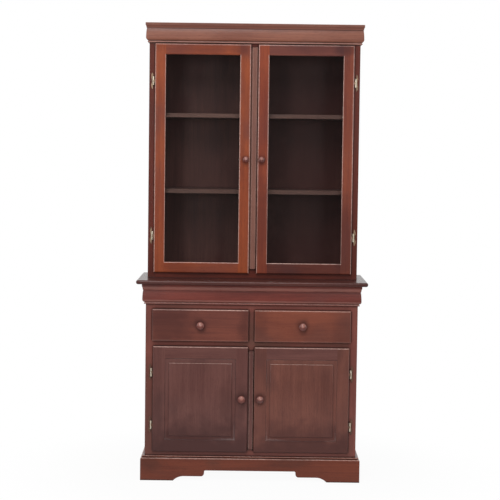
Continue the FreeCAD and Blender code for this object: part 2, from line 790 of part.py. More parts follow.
def build_hutch_doors():
    inner = "hutch_door_member - glass_rebate"
    rebate_depth = "front_thickness - glass_lip"
    ring = door_ring("hutch_door_ring", "hutch", "hutch_sight_round", inner, rebate_depth, 0)
    door_pair("hutch", "frame", door_members("hutch_door_frame", ring, "hutch"))

    left = "hutch_door_inner + " + inner
    right = "hutch_door_outer - (%s)" % inner
    low = "hutch_door_foot + " + inner
    high = "hutch_door_top - (%s)" % inner
    glass_front = "hutch_front + glass_lip"
    glass_back = glass_front + " + glass_thickness"
    door_pair("hutch", "glass", block("hutch_glass", (left, right), (glass_front, glass_back), (low, high)))

    bead_y = (glass_back, glass_back + " + glazing_bead")
    past_left = left + " + glass_rebate"
    past_right = right + " - glass_rebate"
    beads = [
        block("glazing_bead", (left, past_left), bead_y, (low, high)),
        block("glazing_bead", (past_right, right), bead_y, (low, high)),
        block("glazing_bead", (past_left, past_right), bead_y, (low, low + " + glass_rebate")),
        block("glazing_bead", (past_left, past_right), bead_y, (high + " - glass_rebate", high))]
    door_pair("hutch", "glazing_beads", group("glazing_beads", beads))


def raised_panel(name):
    """A raised and fielded panel: tongue, bevelled margin and a field with a rounded edge."""
    edge = "base_door_member - panel_groove + panel_edge_clearance"
    sight = "base_door_member + panel_sight_clearance"
    field = "base_door_member + panel_margin"
    bevel_foot = "panel_setback + panel_tongue"
    field_foot = bevel_foot + " + panel_bevel_rise"
    field_top = "front_thickness - panel_field_sink"

    def inset(distance):
        return ((distance, "base_door_width - (%s)" % distance), (distance, "base_door_height - (%s)" % distance))

    body = new_body(name, "base_door_inner", "base_door_back", "base_door_foot")
    tongue = new_sketch(body, "XZ_Plane", "panel_setback")
    rectangle(tongue, *inset(edge))
    pad(body, tongue, "panel_tongue")
    doc.recompute()
    low = new_sketch(body, "XZ_Plane", bevel_foot)
    rectangle(low, *inset(sight))
    high = new_sketch(body, "XZ_Plane", field_foot)
    rectangle(high, *inset(field))
    bevel = body.newObject("PartDesign::AdditiveLoft", name + "_bevel")
    bevel.Profile = low
    bevel.Sections = [high]
    bevel.Ruled = True
    doc.recompute()
    raised = new_sketch(body, "XZ_Plane", field_foot)
    rectangle(raised, *inset(field))
    pad(body, raised, "%s - (%s)" % (field_top, field_foot))
    fillet(body, "panel_field_round", lambda edge_: lies_at(edge_, "y", ["-(%s)" % field_top]))
    return body


def build_base_doors():
    groove = "base_door_member - panel_groove"
    ring = door_ring("base_door_ring", "base", "base_sight_round", groove, "panel_tongue", "panel_setback")
    door_pair("base", "frame", door_members("base_door_frame", ring, "base"))
    door_pair("base", "panel", raised_panel("base_panel"))


def closing_strip(kind, name):
    """The strip that closes the gap of a pair of doors: a rounded crown between them, on a flange behind the left.

    The crown runs on in front of the rails; the flange stops short of them.
    """
    width = kind + "_strip_width"
    shadow = "(%s_door_gap - %s) / 2" % (kind, width)
    foot = "%s_door_foot + %s_strip_foot_inset" % (kind, kind)
    top = "%s_door_top - %s_strip_top_inset" % (kind, kind)
    body = new_body(name, "-%s_door_inner + %s" % (kind, shadow), kind + "_door_back", foot)
    crown = new_sketch(body, "XY_Plane")
    shoulder = "-(strip_crown - strip_round)"
    outline(crown, [
        (0, 0),
        (0, shoulder, "strip_round"),
        ("strip_round", "-strip_crown"),
        ("%s - strip_round" % width, "-strip_crown", "strip_round"),
        (width, shoulder),
        (width, 0)])
    pad(body, crown, "(%s) - (%s)" % (top, foot))
    doc.recompute()
    stop = "strip_lap + strip_clearance"
    flange = new_sketch(body, "XY_Plane", stop)
    rectangle(flange, ("-(%s + strip_cover)" % shadow, width), (0, "strip_flange"))
    pad(body, flange, "(%s) - (%s) - 2 * (%s)" % (top, foot, stop))
    return node(name, body)


def turned_knob(name, radius, x, face, z):
    """A turned mushroom knob: collar, waisted neck and domed head, standing out to the front."""
    body = new_body(name, x, face, z)
    half = new_sketch(body, "XY_Plane")
    head_top = "knob_head_height + knob_head_edge"
    flare = tangent_radius("%s - knob_head_edge - knob_neck_radius" % radius, "knob_head_height - knob_neck_height")
    dome = "((%s) ^ 2 + (knob_projection - (%s)) ^ 2) / (2 * (knob_projection - (%s)))" % (radius, head_top,
                                                                                         head_top)
    outline(half, [
        (0, 0),
        (0, "-knob_projection", dome),
        (radius, "-(%s)" % head_top, "knob_head_edge"),
        ("%s - knob_head_edge" % radius, "-knob_head_height", "-(%s)" % flare),
        ("knob_neck_radius", "-knob_neck_height", "-knob_cove_radius"),
        ("knob_foot_radius", "-knob_foot_height"),
        ("knob_foot_radius", 0)])
    turned = body.newObject("PartDesign::Revolution", name + "_turned")
    turned.Profile = half
    turned.ReferenceAxis = (half, ["V_Axis"])
    turned.Angle = 360
    return node(name, body)


def build_knobs():
    for side, sign in (("left", "-"), ("right", "")):
        turned_knob("hutch_door_%s_knob" % side, "hutch_knob_radius",
                    sign + "(hutch_door_inner + hutch_knob_inset)", "hutch_front",
                    "(hutch_door_foot + hutch_door_top) / 2")
        turned_knob("base_door_%s_knob" % side, "base_knob_radius",
                    sign + "(base_door_inner + base_knob_inset)", "base_front",
                    "(base_door_foot + base_door_top) / 2 + base_knob_rise")
        turned_knob("drawer_%s_knob" % side, "drawer_knob_radius",
                    sign + "(drawer_inner + drawer_outer) / 2", "base_front",
                    "(drawer_foot + drawer_top) / 2")


# Hinges ---------------------------------------------------------------------------------------------------------

def knuckle(body, low, high, clearance):
    """A length of barrel round the pin, between two heights."""
    ring = new_sketch(body, "XY_Plane", low)
    circle(ring, 0, 0, "hinge_barrel_radius")
    circle(ring, 0, 0, "hinge_pin_radius + " + clearance)
    pad(body, ring, "(%s) - (%s)" % (high, low))


def hinge_wing(name, x, y, z):
    """The frame's half of a right-hand hinge: a shaped wing on the stile, a web and the two outer knuckles."""
    body = new_body(name, x, y, z)
    wing = new_sketch(body, "XZ_Plane", "-hinge_standout")
    inner = "hinge_barrel_radius - hinge_wing_thickness"
    half = "hinge_barrel_height / 2"
    lobe = "hinge_lobe_height"
    tip = "hinge_wing_half_height"
    outline(wing, [
        ("hinge_wing_waist", 0, "-hinge_lobe_bend"),
        ("hinge_wing_width", lobe, "hinge_lobe_bend"),
        ("hinge_wing_tip", tip, "hinge_tip_bend"),
        (inner, half),
        (inner, "-" + half, "hinge_tip_bend"),
        ("hinge_wing_tip", "-" + tip, "hinge_lobe_bend"),
        ("hinge_wing_width", "-" + lobe, "-hinge_lobe_bend")])
    pad(body, wing, "hinge_wing_thickness")
    doc.recompute()
    web = new_sketch(body, "YZ_Plane", inner)
    notch = "hinge_middle_height / 2 + hinge_knuckle_gap"
    clear = "hinge_barrel_radius + hinge_web_clearance"
    outline(web, [
        ("hinge_standout", "-" + half),
        ("hinge_standout", half),
        (0, half),
        (0, notch),
        (clear, notch),
        (clear, "-(%s)" % notch),
        (0, "-(%s)" % notch),
        (0, "-" + half)])
    pad(body, web, "hinge_wing_thickness")
    doc.recompute()
    knuckle(body, notch, half, "hinge_fixed_clearance")
    knuckle(body, "-" + half, "-(%s)" % notch, "hinge_fixed_clearance")
    return body


def hinge_leaf(name, x, y, z):
    """The door's half: a leaf along the door's edge, bent behind it, with the middle knuckle."""
    body = new_body(name, x, y, z)
    plan = new_sketch(body, "XY_Plane")
    edge = "-hinge_side_gap"
    outside = edge + " + hinge_leaf_thickness"
    front = "-hinge_barrel_radius"
    door_back = "hinge_standout - front_standoff"
    leaf_back = door_back + " + hinge_leaf_thickness"
    wrap = edge + " - hinge_leaf_wrap"
    outline(plan, [
        (edge, front),
        (outside, front),
        (outside, leaf_back),
        (wrap, leaf_back),
        (wrap, door_back),
        (edge, door_back)])
    pad(body, plan, "hinge_barrel_height", symmetric=True)
    doc.recompute()
    tail = new_sketch(body, "XY_Plane")
    rectangle(tail, (edge + " + hinge_leaf_thickness / 2", 0), (front, front + " + hinge_leaf_thickness"))
    pad(body, tail, "hinge_middle_height", symmetric=True)
    doc.recompute()
    knuckle(body, "-hinge_middle_height / 2", "hinge_middle_height / 2", "hinge_running_clearance")
    return body


def build_hinges():
    wings = []
    pins = []
    for kind in ("hutch", "base"):
        x = kind + "_hinge_x"
        y = kind + "_hinge_y"
        heights = ("%s_door_foot + %s_hinge_inset" % (kind, kind), "%s_door_top - %s_hinge_inset" % (kind, kind))
        pin_length = "hinge_barrel_height + 2 * hinge_pin_overrun"
        leaves = []
        for z in heights:
            wings.append(hinge_wing("hinge_wing", x, y, z))
            leaves.append(hinge_leaf("hinge_leaf", x, y, z))
            pins.append(rod("hinge_pin", "hinge_pin_radius", pin_length, x, y, "%s - (%s) / 2" % (z, pin_length)))
        door_pair(kind, "hinge_leaves", group(kind + "_leaves", leaves))
    node("hinge_wings", both_sides("hinge_wings", wings))
    node("hinge_pins", both_sides("hinge_pins", pins))


def build_catches():
    """Small magnetic catches under the rails, one for each door, just short of touching it."""
    across = ("catch_start", "catch_start + catch_width")
    catches = []
    for kind, foot in (("hutch", "hutch_top_rail_foot"), ("base", "mid_rail_foot")):
        deep = (kind + "_door_back + catch_clearance", kind + "_frame_back")
        catches.append(block("catch", across, deep, (foot + " - catch_height", foot)))
    node("door_catches", both_sides("door_catches", catches))


# Drawers --------------------------------------------------------------------------------------------------------

def drawer_front():
    """A slab front with rounded edges, grooved behind for the drawer's bottom."""
    body = new_body("drawer_front", "drawer_inner", "base_door_back", "drawer_foot")
    face = new_sketch(body, "XZ_Plane")
    rectangle(face, (0, "drawer_width"), (0, "drawer_height"))
    pad(body, face, "front_thickness")
    fillet(body, "front_edge_round", lambda edge: lies_at(edge, "y", ["-front_thickness"]))
    groove = new_sketch(body, "XZ_Plane")
    rectangle(groove,
              ("drawer_side_in + drawer_wall - drawer_groove_depth - drawer_inner",
               "drawer_side_out - drawer_wall + drawer_groove_depth - drawer_inner"),
              ("drawer_base_foot - drawer_foot", "drawer_base_foot + drawer_base - drawer_foot"))
    pocket(body, groove, "drawer_groove_depth", reverse=True)
    return body


def drawer_side(name, outside, inward):
    """A drawer side, grooved for the bottom; inward is the way to the drawer's middle."""
    body = new_body(name, outside, "drawer_box_back", "drawer_box_foot")
    section = new_sketch(body, "XZ_Plane")
    face = "%s drawer_wall" % inward
    depth = "%s (drawer_wall - drawer_groove_depth)" % inward
    low = "drawer_groove_rise"
    high = "drawer_groove_rise + drawer_base"
    corners = [(0, 0), (face, 0), (face, low), (depth, low), (depth, high), (face, high),
               (face, "drawer_box_height"), (0, "drawer_box_height")]
    outline(section, corners)
    pad(body, section, "drawer_box_length")
    return body


def build_drawers():
    front = drawer_front()
    node("drawer_right_front", front)
    node("drawer_left_front", mirrored(front))

    inside = ("drawer_side_in + drawer_wall", "drawer_side_out - drawer_wall")
    grooved = ("drawer_side_in + drawer_wall - drawer_groove_depth",
               "drawer_side_out - drawer_wall + drawer_groove_depth")
    back = block("drawer_back", inside, ("drawer_box_back - drawer_wall", "drawer_box_back"),
                 ("drawer_base_foot + drawer_base", "drawer_box_foot + drawer_box_height"))
    box = group("drawer_box", [
        drawer_side("drawer_side", "drawer_side_in", "+"),
        drawer_side("drawer_side", "drawer_side_out", "-"),
        back])
    node("drawer_right_box", box)
    node("drawer_left_box", mirrored(box))
    bottom = block("drawer_bottom", grooved, ("base_door_back - drawer_groove_depth", "drawer_box_back"),
                   ("drawer_base_foot", "drawer_base_foot + drawer_base"))
    node("drawer_right_bottom", bottom)
    node("drawer_left_bottom", mirrored(bottom))


def runner(name, fixed, beside, under):
    """An L-shaped runner: a guide between the fixed face and the drawer, and a ledge under the drawer's side."""
    body = new_body(name, 0, "back_inner", "runner_top")
    section = new_sketch(body, "XZ_Plane")
    outline(section, [
        (fixed, "-runner_ledge"),
        (under, "-runner_ledge"),
        (under, 0),
        (beside, 0),
        (beside, "runner_guide"),
        (fixed, "runner_guide")])
    pad(body, section, "back_inner - base_frame_back")
    return body


def build_runners():
    outer = runner("outer_runner", "inner_half", "drawer_side_out + runner_clearance",
                   "drawer_side_out - drawer_wall")
    inner = runner("inner_runner", "divider_half", "drawer_side_in - runner_clearance",
                   "drawer_side_in + drawer_wall")
    node("drawer_runners", both_sides("drawer_runners", [outer, inner]))


# The whole dresser ----------------------------------------------------------------------------------------------

def check_model():
    """Every object is sound, and every sub-part holds whole solids."""
    for thing in doc.Objects:
        if "Invalid" in thing.State or "Error" in thing.State:
            raise RuntimeError("failed: %s" % thing.Label)
    for thing in nodes:
        if thing.Shape.isNull() or not thing.Shape.isValid() or not thing.Shape.Solids:
            raise RuntimeError("bad shape: %s" % thing.Label)


def write_parts():
    os.makedirs("parts", exist_ok=True)
    for thing in nodes:
        thing.Shape.exportStep("parts/%s.step" % thing.Label)


build_carcass()
build_front_frames()
build_top_board()
build_mouldings()
build_plinth()
build_hutch_doors()
build_base_doors()
closing_strip("hutch", "hutch_door_left_closing_strip")
closing_strip("base", "base_door_left_closing_strip")
build_knobs()
build_hinges()
build_catches()
build_drawers()
build_runners()
doc.recompute()
check_model()
write_parts()
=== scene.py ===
import itertools
import math

import bmesh
import bpy
from mathutils import Euler, Matrix, Vector


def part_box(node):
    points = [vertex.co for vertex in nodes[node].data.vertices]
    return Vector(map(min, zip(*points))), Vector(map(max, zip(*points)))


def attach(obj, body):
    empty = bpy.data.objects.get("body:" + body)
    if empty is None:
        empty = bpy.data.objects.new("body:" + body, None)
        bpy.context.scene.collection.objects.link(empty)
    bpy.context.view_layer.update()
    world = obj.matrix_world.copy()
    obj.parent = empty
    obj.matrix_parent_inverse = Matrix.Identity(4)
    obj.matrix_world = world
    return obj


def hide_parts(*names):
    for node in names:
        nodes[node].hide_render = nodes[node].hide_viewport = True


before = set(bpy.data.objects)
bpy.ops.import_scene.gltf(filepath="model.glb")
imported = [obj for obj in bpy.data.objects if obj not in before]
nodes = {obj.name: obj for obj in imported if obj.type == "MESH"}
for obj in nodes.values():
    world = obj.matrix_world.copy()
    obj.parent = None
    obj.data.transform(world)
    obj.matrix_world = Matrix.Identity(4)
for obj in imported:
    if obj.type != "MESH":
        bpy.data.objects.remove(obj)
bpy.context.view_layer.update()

scene = bpy.context.scene


# Colours and node helpers -------------------------------------------------------------------------

def rgb(red, green, blue):
    """A display colour, 0 to 255, as linear light."""
    def linear(value):
        value /= 255.0
        return value / 12.92 if value <= 0.04045 else ((value + 0.055) / 1.055) ** 2.4
    return (linear(red), linear(green), linear(blue), 1.0)


class Tree:
    """Short calls for adding and linking nodes in one node tree."""

    def __init__(self, tree):
        self.tree = tree

    def add(self, kind, inputs=None, **settings):
        made = self.tree.nodes.new("ShaderNode" + kind)
        for name, value in settings.items():
            setattr(made, name, value)
        for name, value in (inputs or {}).items():
            self.put(made.inputs[name], value)
        return made

    def put(self, socket, value):
        if isinstance(value, bpy.types.NodeSocket):
            self.tree.links.new(value, socket)
        else:
            socket.default_value = value

    def math(self, operation, *values, clamp=False):
        made = self.add("Math", operation=operation, use_clamp=clamp)
        for socket, value in zip(made.inputs, values):
            self.put(socket, value)
        return made.outputs[0]

    def vector(self, operation, *values):
        made = self.add("VectorMath", operation=operation)
        for socket, value in zip(made.inputs, values):
            self.put(socket, value)
        return made.outputs["Value"] if operation in ("DOT_PRODUCT", "LENGTH") else made.outputs["Vector"]

    def noise(self, place, scale, detail, roughness, distortion=0.0):
        made = self.add("TexNoise", {"Vector": place, "Scale": scale, "Detail": detail,
                                     "Roughness": roughness, "Distortion": distortion})
        return made.outputs["Fac"]

    def ramp(self, value, low, high, to_low=0.0, to_high=1.0):
        """A smooth step from to_low, where the value is low, to to_high, where it is high."""
        made = self.add("MapRange", {"Value": value, "From Min": low, "From Max": high,
                                     "To Min": to_low, "To Max": to_high})
        made.interpolation_type = "SMOOTHSTEP"
        return made.outputs["Result"]

    def mix(self, factor, first, second):
        """A blend of two colours; the node's colour sockets share their names with its other kinds."""
        made = self.add("Mix", data_type="RGBA")
        self.put(made.inputs["Factor"], factor)
        self.put(made.inputs[6], first)
        self.put(made.inputs[7], second)
        return made.outputs[2]


def new_material(name):
    material = bpy.data.materials.new(name)
    material.use_nodes = True
    material.node_tree.nodes.clear()
    return material, Tree(material.node_tree)


OPEN_PORE = (0.016, 0.006, 0.005, 1.0)
# Gathered stain and painted shade for recesses.
RECESS_STAIN_AND_SHADE = rgb(36, 14, 12)
# Paler edges: partly wear, partly painted highlight.
RUBBED_EDGE_AND_HIGHLIGHT = rgb(205, 168, 156)
# Painted highlight for the knobs' crowns.
PAINTED_CROWN_HIGHLIGHT = rgb(186, 128, 114)


def make_wood_group():
    """Stained and lacquered mahogany.  The grain runs along the incoming vector's Z, in metres."""
    group = bpy.data.node_groups.new("stained_wood", "ShaderNodeTree")
    inputs = (("Vector", "Vector"), ("Light", "Color"), ("Dark", "Color"), ("Smoky", "Color"),
              ("Figure", "Float"), ("Edge Wear and Highlight", "Float"), ("Side Edge Wear and Highlight", "Float"), ("Recess Glaze and Shade", "Float"))
    outputs = (("Color", "Color"), ("Roughness", "Float"), ("Normal", "Vector"), ("Coat Normal", "Vector"))
    for way, sockets in (("INPUT", inputs), ("OUTPUT", outputs)):
        for name, kind in sockets:
            group.interface.new_socket(name, in_out=way, socket_type="NodeSocket" + kind)
    t = Tree(group)
    given = group.nodes.new("NodeGroupInput")
    result = group.nodes.new("NodeGroupOutput")
    place = given.outputs["Vector"]

    def stretched(along):
        return t.vector("MULTIPLY", place, (1.0, 1.0, along))

    # Slow, soft patches where the stain took differently, and long streaks along the grain.
    patches = t.noise(stretched(0.34), 8.0, 3.0, 0.5, 0.5)
    smoke = t.noise(t.vector("ADD", stretched(0.5), (3.1, 7.7, 1.9)), 6.0, 2.0, 0.5, 0.4)
    streaks = t.noise(stretched(0.05), 60.0, 4.0, 0.6, 0.4)
    lines = t.noise(stretched(0.02), 260.0, 3.0, 0.6)
    # Growth rings about an axis a little way off the board.
    about_heart = t.vector("ADD", stretched(0.06), (0.21, 0.13, 0.0))
    rings = t.add("TexWave", {"Vector": about_heart, "Scale": 17.0, "Distortion": 5.0, "Detail": 3.0,
                              "Detail Scale": 2.2, "Detail Roughness": 0.6},
                  wave_type="RINGS", rings_direction="Z").outputs["Fac"]
    # Open pores: short dark dashes.
    pores = t.ramp(t.noise(stretched(0.045), 900.0, 2.0, 0.65), 0.56, 0.70)

    tone = t.math("ADD", t.math("MULTIPLY", t.ramp(patches, 0.28, 0.74), 0.70),
                  t.ramp(streaks, 0.30, 0.70, -0.08, 0.28))
    tone = t.math("ADD", tone, t.ramp(lines, 0.3, 0.7, -0.09, 0.23))
    figure = t.math("MULTIPLY", t.math("MULTIPLY", rings, given.outputs["Figure"]), 0.30)
    tone = t.math("ADD", tone, figure, clamp=True)
    color = t.mix(tone, given.outputs["Dark"], given.outputs["Light"])
    color = t.mix(t.math("MULTIPLY", t.ramp(smoke, 0.50, 0.76), 0.80), color, given.outputs["Smoky"])
    color = t.mix(t.math("MULTIPLY", pores, 0.34), color, OPEN_PORE)

    # Painted shade: recesses are darkened where ambient occlusion finds them, partly stain and polish
    # gathered there.
    open_air = t.add("AmbientOcclusion", {"Distance": 0.012}, samples=8).outputs["AO"]
    recess_glaze_and_shade = t.ramp(open_air, 0.48, 0.92, 1.0, 0.0)
    color = t.mix(t.math("MULTIPLY", recess_glaze_and_shade, given.outputs["Recess Glaze and Shade"]), color, RECESS_STAIN_AND_SHADE)
    # Rounded edges are painted paler, partly wear where the film is thin and partly a painted highlight: most
    # on those that face up, none under them.
    normal = t.add("SeparateXYZ", {"Vector": t.add("TexCoord").outputs["Normal"]}).outputs
    slope = [t.math("ABSOLUTE", normal[axis]) for axis in "XYZ"]
    steepest = t.math("MAXIMUM", t.math("MAXIMUM", slope[0], slope[1]), slope[2])
    rubbed_and_highlight = t.ramp(steepest, 0.99, 0.80)
    share = t.mix(t.ramp(normal["Z"], 0.05, 0.45), given.outputs["Side Edge Wear and Highlight"], given.outputs["Edge Wear and Highlight"])
    share = t.math("MULTIPLY", share, t.ramp(normal["Z"], -0.40, -0.05))
    scuffs = t.ramp(t.noise(place, 110.0, 3.0, 0.6), 0.35, 0.65, 0.55, 1.0)
    rubbed_and_highlight = t.math("MULTIPLY", t.math("MULTIPLY", rubbed_and_highlight, scuffs), share)
    color = t.mix(rubbed_and_highlight, color, RUBBED_EDGE_AND_HIGHLIGHT)

    rough = t.math("ADD", t.ramp(streaks, 0.3, 0.7, 0.34, 0.44), t.math("MULTIPLY", pores, 0.15))
    rough = t.math("ADD", rough, t.math("MULTIPLY", rubbed_and_highlight, 0.08))
    height = t.math("SUBTRACT", t.math("MULTIPLY", lines, 0.25), t.math("MULTIPLY", pores, 0.8))
    bump = t.add("Bump", {"Height": height, "Strength": 0.3, "Distance": 0.00025})
    film = t.math("ADD", t.noise(place, 55.0, 2.0, 0.5), t.math("MULTIPLY", pores, -0.12))
    ripple = t.add("Bump", {"Height": film, "Strength": 0.22, "Distance": 0.0008})
    t.put(result.inputs["Color"], color)
    t.put(result.inputs["Roughness"], rough)
    t.put(result.inputs["Normal"], bump.outputs["Normal"])
    t.put(result.inputs["Coat Normal"], ripple.outputs["Normal"])
    return group


wood_group = make_wood_group()

# Finishes: light, dark and smoky stain, figure, edge wear and painted highlight on edges that face up and on
# the others, coat and its roughness.
TONES = {
    "amber": (rgb(155, 77, 43), rgb(127, 59, 36), rgb(108, 58, 50), 0.30, 0.80, 0.95, 0.4, 0.15),
    "copper": (rgb(148, 73, 42), rgb(121, 55, 34), rgb(104, 55, 47), 0.30, 0.75, 0.80, 0.4, 0.15),
    "rosewood": (rgb(132, 67, 46), rgb(105, 49, 37), rgb(92, 51, 46), 0.30, 0.95, 0.95, 0.4, 0.15),
    "russet": (rgb(143, 69, 44), rgb(115, 51, 37), rgb(96, 51, 46), 0.30, 0.95, 0.95, 0.4, 0.15),
    "plum": (rgb(122, 68, 56), rgb(94, 50, 47), rgb(84, 50, 50), 0.30, 0.72, 0.90, 0.4, 0.15),
    "garnet": (rgb(107, 55, 43), rgb(82, 41, 35), rgb(76, 44, 42), 0.30, 0.90, 0.90, 0.4, 0.15),
    "knob": (rgb(104, 44, 34), rgb(76, 31, 25), rgb(70, 34, 29), 0.35, 0.00, 0.00, 1.0, 0.16),
    "stile": (rgb(97, 40, 28), rgb(75, 30, 22), rgb(70, 34, 29), 0.30, 0.30, 0.08, 0.3, 0.18),
    # A lighter copy of the stile's finish for the hutch's foot rail: painted light against the shade it lies
    # in.
    "umber": (rgb(105, 43, 31), rgb(82, 33, 24), rgb(76, 37, 32), 0.30, 0.30, 0.08, 0.3, 0.18),
    "cornice": (rgb(140, 89, 72), rgb(109, 62, 50), rgb(116, 76, 66), 0.40, 0.25, 0.25, 0.4, 0.22),
    "frieze": (rgb(121, 58, 49), rgb(93, 42, 37), rgb(94, 55, 50), 0.30, 0.45, 0.30, 0.4, 0.20),
    "mauve": (rgb(108, 69, 63), rgb(90, 55, 51), rgb(82, 52, 49), 0.12, 0.75, 0.02, 0.3, 0.18),
    "chestnut": (rgb(117, 71, 60), rgb(97, 58, 50), rgb(88, 54, 49), 0.12, 0.75, 0.10, 0.3, 0.18),
    "dusk": (rgb(119, 66, 54), rgb(94, 53, 47), rgb(86, 52, 48), 0.15, 1.00, 0.12, 0.3, 0.18),
    "sienna": (rgb(127, 69, 52), rgb(104, 56, 45), rgb(94, 57, 50), 0.15, 0.62, 0.12, 0.3, 0.18),
    "rail": (rgb(126, 72, 63), rgb(101, 56, 50), rgb(94, 66, 56), 0.20, 0.35, 0.10, 0.3, 0.18),
    "plinth": (rgb(117, 57, 38), rgb(94, 44, 31), rgb(84, 50, 39), 0.25, 0.60, 0.25, 0.3, 0.18),
    "astragal": (rgb(104, 67, 62), rgb(86, 53, 49), rgb(80, 52, 49), 0.15, 0.40, 0.40, 0.3, 0.18),
    "strip": (rgb(136, 93, 80), rgb(113, 74, 64), rgb(110, 79, 73), 0.25, 0.40, 0.30, 0.4, 0.20),
    "top": (rgb(82, 43, 37), rgb(61, 31, 27), rgb(60, 36, 33), 0.35, 0.00, 0.00, 0.4, 0.12),
    "inner": (rgb(104, 64, 58), rgb(82, 48, 45), rgb(84, 38, 35), 0.25, 0.20, 0.10, 0.2, 0.30),
    "shelf": (rgb(121, 88, 80), rgb(98, 68, 62), rgb(92, 72, 70), 0.25, 0.50, 0.20, 0.3, 0.25),
    "raw": (rgb(190, 148, 106), rgb(156, 116, 80), rgb(146, 114, 86), 0.50, 0.20, 0.20, 0.0, 0.30),
}
# The turn that brings a board's long axis onto the wood's Z.
GRAIN_TURN = {"x": (0.0, math.radians(90), 0.0), "y": (math.radians(90), 0.0, 0.0), "z": (0.0, 0.0, 0.0)}
# How bright each of a finish's stretches of timber is.
SHADES = (1.0, 0.95, 1.05, 0.98)
# How strongly recesses are darkened, partly gathered stain and partly painted shade, and where a finish
# differs from that.
USUAL_RECESS_GLAZE_AND_SHADE = 0.88
RECESS_GLAZE_AND_SHADE = {"strip": 0.30, "frieze": 0.20, "inner": 0.50, "astragal": 0.15, "stile": 0.70, "umber": 0.70,
         "shelf": 0.50, "raw": 0.40, "knob": 0.60, "amber": 0.55, "copper": 0.65, "russet": 0.65,
         "rosewood": 0.65, "plum": 0.65, "garnet": 0.65}
# Patches on a node, darker, or paler for a strength below 0: x and z of the middle, half width, half height,
# strength.
# Some are uneven stain; others are painted shade and painted highlight lines.
STAIN_AND_PAINTED_LIGHT = {
    "hutch_back": [(0.260, 1.400, 0.300, 0.900, 0.70)],
    # Painted shade and highlight: bands along the cornice's moulding, the last a pale line on its bead.
    "cornice_front": [(0.000, 1.991, 0.900, 0.006, 0.30), (0.000, 1.975, 2.000, 0.015, 0.55),
                      (0.000, 1.961, 2.000, 0.006, 0.25), (0.000, 1.9115, 2.000, 0.0045, -0.42)],
    # Painted shade and highlight: dark and pale bands along the frieze's moulding.
    "frieze_front": [(0.000, 0.8410, 2.000, 0.009, -0.24), (0.000, 0.8275, 2.000, 0.004, 0.40),
                     (0.000, 0.7870, 2.000, 0.0045, -0.24), (0.000, 0.7755, 2.000, 0.004, -0.12)],
    "base_stiles": [(-0.450, 0.300, 0.060, 0.280, 0.45)],
    # The small round patches at the knobs paint the shade round each knob.
    "hutch_door_left_frame": [(-0.240, 1.886, 0.200, 0.036, 0.40), (-0.064, 1.880, 0.050, 0.034, 0.65),
                              (-0.330, 0.925, 0.070, 0.030, 0.35), (-0.0345, 1.401, 0.025, 0.025, 0.60)],
    "hutch_door_right_frame": [(0.392, 1.884, 0.055, 0.034, 0.80), (0.412, 1.040, 0.060, 0.230, 0.50),
                               (0.038, 1.120, 0.050, 0.220, 0.55), (0.240, 1.890, 0.130, 0.030, 0.30),
                               (0.0345, 1.401, 0.025, 0.025, 0.60)],
    "base_door_left_frame": [(-0.220, 0.120, 0.460, 0.130, 0.95), (-0.048, 0.360, 0.050, 0.120, 0.55),
                             (-0.408, 0.280, 0.030, 0.160, 0.35), (-0.036, 0.200, 0.034, 0.120, 0.45),
                             (-0.0402, 0.3640, 0.031, 0.031, 0.90), (-0.220, 0.1800, 0.180, 0.007, 0.90)],
    "base_door_left_panel": [(-0.220, 0.130, 0.440, 0.150, 0.85), (-0.100, 0.330, 0.050, 0.120, 0.35)],
    "base_door_right_frame": [(0.220, 0.110, 0.460, 0.130, 0.90), (0.0402, 0.3640, 0.031, 0.031, 0.90),
                              (0.220, 0.1800, 0.180, 0.007, 0.90), (0.048, 0.230, 0.040, 0.130, 0.25)],
    "base_door_right_panel": [(0.220, 0.130, 0.440, 0.150, 0.75), (0.330, 0.380, 0.060, 0.140, 0.30)],
    # Thin pale bands at the drawer fronts' foot paint a highlight along their lower edge.
    "drawer_left_front": [(-0.370, 0.680, 0.150, 0.120, 0.62), (-0.022, 0.680, 0.040, 0.100, 0.50),
                          (-0.222, 0.6830, 0.032, 0.032, 0.90), (-0.222, 0.6135, 0.600, 0.005, -0.20)],
    "drawer_right_front": [(0.030, 0.700, 0.050, 0.090, 0.35), (0.400, 0.650, 0.060, 0.080, 0.35),
                           (0.222, 0.6830, 0.032, 0.032, 0.90), (0.222, 0.6135, 0.600, 0.005, -0.16)],
    "plinth_front": [(-0.440, 0.080, 0.070, 0.035, 0.55), (0.180, 0.085, 0.090, 0.030, 0.40)],
}
# Less red, green and blue in the darker patches, stain or painted shade, than in a finish's smoky one; the
# painted highlight's tint.
DEEPER = (0.70, 0.60, 0.60)
PAINTED_HIGHLIGHT_TINT = rgb(176, 132, 120)
woods = {}


